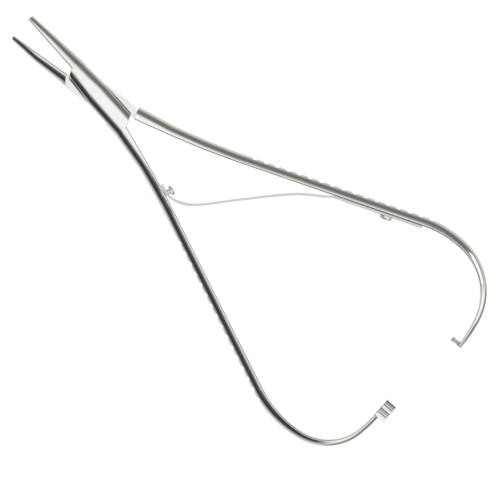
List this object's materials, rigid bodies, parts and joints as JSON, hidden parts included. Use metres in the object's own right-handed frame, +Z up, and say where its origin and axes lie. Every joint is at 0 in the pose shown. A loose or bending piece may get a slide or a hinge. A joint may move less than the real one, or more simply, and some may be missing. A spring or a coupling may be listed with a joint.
{
  "type": "surgical needle holder",
  "caption": "Steel needle holder with a box-lock pivot, serrated jaws, curled handle ends that close on a ratchet, and a leaf spring that opens them.",
  "frame": {"origin": "on the pivot pin's axis, at the resting face of the box lock's lower side", "axes": "+X from the pivot towards the handle ends along the middle of the open handles, +Z up through the pivot pin, +Y towards the handle that carries the leaf spring"},
  "size_m": [0.1691, 0.0814, 0.0059],
  "materials": {
    "box_half": "polished",
    "tang_half": "polished",
    "pivot_pin": "ground flush",
    "leaf_spring": "satin",
    "spring_screw": "polished",
    "guide_stud": "polished"
  },
  "bodies": {
    "box_side": {"box_half": "box_half", "pivot_pin": "pivot_pin", "guide_stud": "guide_stud"},
    "tang_side": {"tang_half": "tang_half", "leaf_spring": "leaf_spring", "spring_screw": "spring_screw"}
  },
  "joints": [
    {"name": "pivot", "type": "hinge", "parent": "box_side", "child": "tang_side", "pos_m": [0, 0, 0], "axis": [0, 0, 1], "range_deg": [-12.4, 0], "stiffness_Nm_per_rad": 1.5, "springref_deg": 5.73, "deforming": ["leaf_spring"]}
  ]
}
